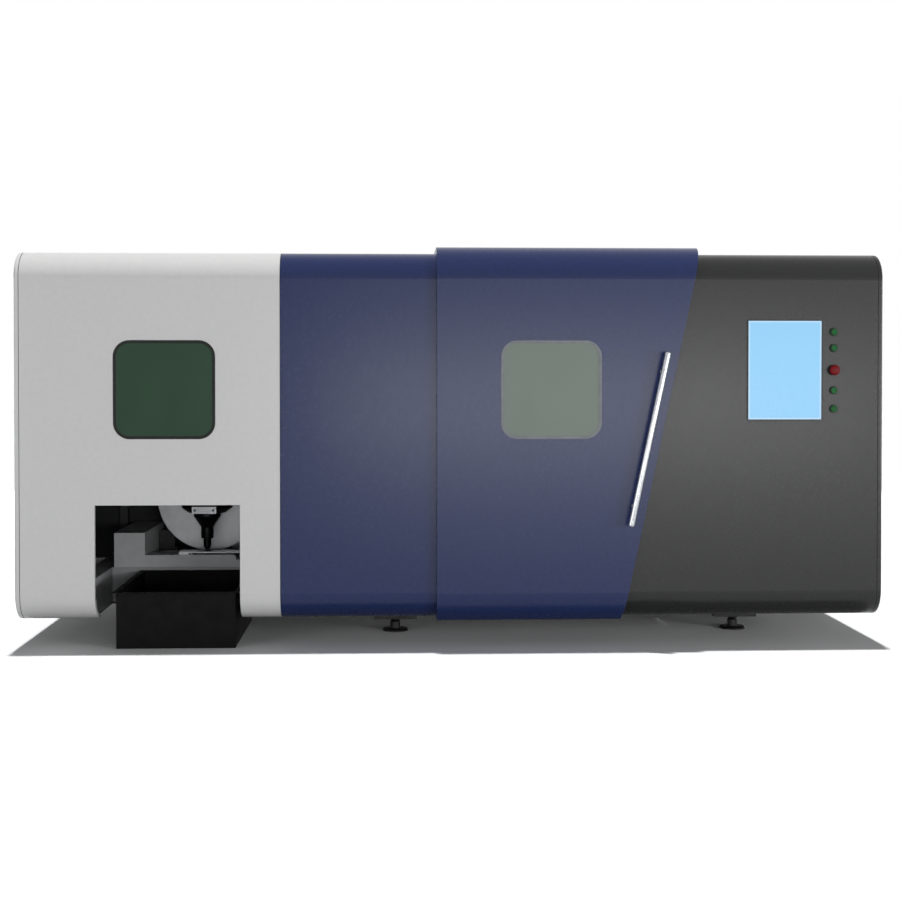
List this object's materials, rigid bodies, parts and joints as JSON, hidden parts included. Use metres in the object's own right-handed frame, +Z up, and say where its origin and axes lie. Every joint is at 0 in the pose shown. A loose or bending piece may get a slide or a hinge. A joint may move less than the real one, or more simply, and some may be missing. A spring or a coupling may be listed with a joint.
{
  "type": "fiber laser cutting machine",
  "caption": "Enclosed fiber laser tube cutting machine with rounded folded covers, a proud sliding door with a slanted edge, an outfeed opening over a scrap bin and a touch screen.",
  "frame": {"origin": "on the floor under the middle of the machine's bounding box", "axes": "+X to the right seen from the operator's side, from the outfeed to the tube inlet; +Y from the operator's side to the rear; +Z up"},
  "size_m": [4.5, 1.807, 2.085],
  "materials": {
    "light_paint": "satin light grey powder coat",
    "blue_paint": "satin dark blue powder coat",
    "dark_paint": "satin dark grey powder coat",
    "frame_paint": "grey paint on welded tube",
    "bed_paint": "light machine grey paint",
    "bin_paint": "black paint",
    "source_paint": "fine texture grey powder coat",
    "black_steel": "black oxide",
    "zinc_steel": "bright zinc plate",
    "ground_steel": "ground and oiled",
    "galvanised": "galvanised sheet",
    "handle_chrome": "polished",
    "turned_aluminium": "fine turned",
    "black_anodised": "black anodised",
    "cast_metal": "painted casting",
    "seal_rubber": "matte extruded profile",
    "grey_rubber": "matte extruded profile",
    "left_glass": "dark green laser safety glass",
    "door_glass": "grey green laser safety glass",
    "screen_glass": "lit flat screen",
    "black_plastic": "moulded black plastic",
    "green_plastic": "moulded green plastic",
    "red_plastic": "moulded red plastic",
    "module_plastic": "moulded module housings"
  },
  "bodies": {
    "machine": {"base_frame": "frame_paint", "foot_pads": "black_steel", "foot_spindles": "zinc_steel", "enclosure_frame": "frame_paint", "left_shell": "light_paint", "centre_shell": "blue_paint", "right_shell": "dark_paint", "left_end_panel": "light_paint", "right_end_panel": "dark_paint", "infeed_ring": "zinc_steel", "rear_panel_left": "light_paint", "rear_panel_middle": "light_paint", "rear_panel_right": "dark_paint", "exhaust_spigot": "galvanised", "cabinet_hinges": "zinc_steel", "left_window_seal": "seal_rubber", "left_window": "left_glass", "door_tracks": "ground_steel", "screen_housing": "black_plastic", "touch_screen": "screen_glass", "button_collars": "black_plastic", "machine_bed": "bed_paint", "table_plate": "ground_steel", "outfeed_support": "black_steel", "portal": "bed_paint", "guide_rails": "ground_steel", "front_chuck_housing": "cast_metal", "control_cabinet": "galvanised", "cabinet_modules": "module_plastic", "laser_source": "source_paint", "scrap_bin": "bin_paint"},
    "sliding_door": {"door_panel": "blue_paint", "door_carriers": "black_plastic", "door_handle": "handle_chrome", "handle_standoffs": "handle_chrome", "door_window_seal": "grey_rubber", "door_window": "door_glass"},
    "rear_door": {"cabinet_door": "dark_paint"},
    "rear_latch": {"cabinet_latch": "black_plastic"},
    "start": {"start_button": "green_plastic"},
    "pause": {"pause_button": "green_plastic"},
    "stop_plunger": {"stop_stem": "black_plastic"},
    "stop_head": {"stop_mushroom": "red_plastic"},
    "reset": {"reset_button": "green_plastic"},
    "light": {"light_button": "green_plastic"},
    "head_saddle": {"cross_saddle": "cast_metal"},
    "head_ram": {"z_ram": "cast_metal"},
    "head_swivel": {"swivel_disc": "turned_aluminium", "head_bracket": "black_anodised", "cutting_head": "black_anodised", "nozzle": "black_anodised"},
    "drawer": {"lens_drawer": "turned_aluminium"},
    "front_drum": {"front_chuck_rotor": "ground_steel"},
    "front_jaw_up": {"front_chuck_jaw_a": "black_steel"},
    "front_jaw_down": {"front_chuck_jaw_b": "black_steel"},
    "carriage": {"feed_carriage": "cast_metal", "feed_chuck_housing": "cast_metal"},
    "feed_drum": {"feed_chuck_rotor": "ground_steel"},
    "feed_jaw_up": {"feed_chuck_jaw_a": "black_steel"},
    "feed_jaw_down": {"feed_chuck_jaw_b": "black_steel"}
  },
  "joints": [
    {"name": "door_slide", "type": "slide", "parent": "machine", "child": "sliding_door", "axis": [-1, 0, 0], "range_m": [0, 0.8]},
    {"name": "rear_door_hinge", "type": "hinge", "parent": "machine", "child": "rear_door", "pos_m": [1.336, 0.856, 1.315], "axis": [0, 0, 1], "range_deg": [0, 110]},
    {"name": "rear_latch_turn", "type": "hinge", "parent": "rear_door", "child": "rear_latch", "pos_m": [1.955, 0.856, 1.315], "axis": [0, 1, 0], "range_deg": [0, 90]},
    {"name": "start_press", "type": "slide", "parent": "machine", "child": "start", "axis": [0, 1, 0], "range_m": [0, 0.0035], "stiffness_N_per_m": 400},
    {"name": "pause_press", "type": "slide", "parent": "machine", "child": "pause", "axis": [0, 1, 0], "range_m": [0, 0.0035], "stiffness_N_per_m": 400},
    {"name": "stop_press", "type": "slide", "parent": "machine", "child": "stop_plunger", "axis": [0, 1, 0], "range_m": [0, 0.006]},
    {"name": "stop_twist", "type": "hinge", "parent": "stop_plunger", "child": "stop_head", "pos_m": [1.989, -0.82, 1.44], "axis": [0, -1, 0], "range_deg": [0, 45]},
    {"name": "reset_press", "type": "slide", "parent": "machine", "child": "reset", "axis": [0, 1, 0], "range_m": [0, 0.0035], "stiffness_N_per_m": 400},
    {"name": "light_press", "type": "slide", "parent": "machine", "child": "light", "axis": [0, 1, 0], "range_m": [0, 0.0035], "stiffness_N_per_m": 400},
    {"name": "head_cross_slide", "type": "slide", "parent": "machine", "child": "head_saddle", "axis": [0, 1, 0], "range_m": [-0.08, 0.06]},
    {"name": "head_lift", "type": "slide", "parent": "head_saddle", "child": "head_ram", "axis": [0, 0, 1], "range_m": [0, 0.28]},
    {"name": "head_swivel_turn", "type": "hinge", "parent": "head_ram", "child": "head_swivel", "pos_m": [-1.408, 0.48, 0.68], "axis": [0, 1, 0], "range_deg": [-45, 45]},
    {"name": "lens_drawer_slide", "type": "slide", "parent": "head_swivel", "child": "drawer", "axis": [0, -1, 0], "range_m": [0, 0.09]},
    {"name": "front_chuck_turn", "type": "hinge", "parent": "machine", "child": "front_drum", "pos_m": [-0.9, 0.31, 0.56], "axis": [1, 0, 0], "continuous": true},
    {"name": "front_jaw_up_slide", "type": "slide", "parent": "front_drum", "child": "front_jaw_up", "axis": [0, 0, -1], "range_m": [0, 0.035]},
    {"name": "front_jaw_down_slide", "type": "slide", "parent": "front_drum", "child": "front_jaw_down", "axis": [0, 0, 1], "range_m": [0, 0.035]},
    {"name": "feed_slide", "type": "slide", "parent": "machine", "child": "carriage", "axis": [-1, 0, 0], "range_m": [0, 1.58]},
    {"name": "feed_chuck_turn", "type": "hinge", "parent": "carriage", "child": "feed_drum", "pos_m": [1.04, 0.31, 0.56], "axis": [1, 0, 0], "continuous": true},
    {"name": "feed_jaw_up_slide", "type": "slide", "parent": "feed_drum", "child": "feed_jaw_up", "axis": [0, 0, -1], "range_m": [0, 0.035]},
    {"name": "feed_jaw_down_slide", "type": "slide", "parent": "feed_drum", "child": "feed_jaw_down", "axis": [0, 0, 1], "range_m": [0, 0.035]}
  ],
  "couplings": [
    {"joint": "feed_chuck_turn", "follows": "front_chuck_turn", "ratio": 1},
    {"joint": "front_jaw_down_slide", "follows": "front_jaw_up_slide", "ratio": 1},
    {"joint": "feed_jaw_down_slide", "follows": "feed_jaw_up_slide", "ratio": 1}
  ]
}
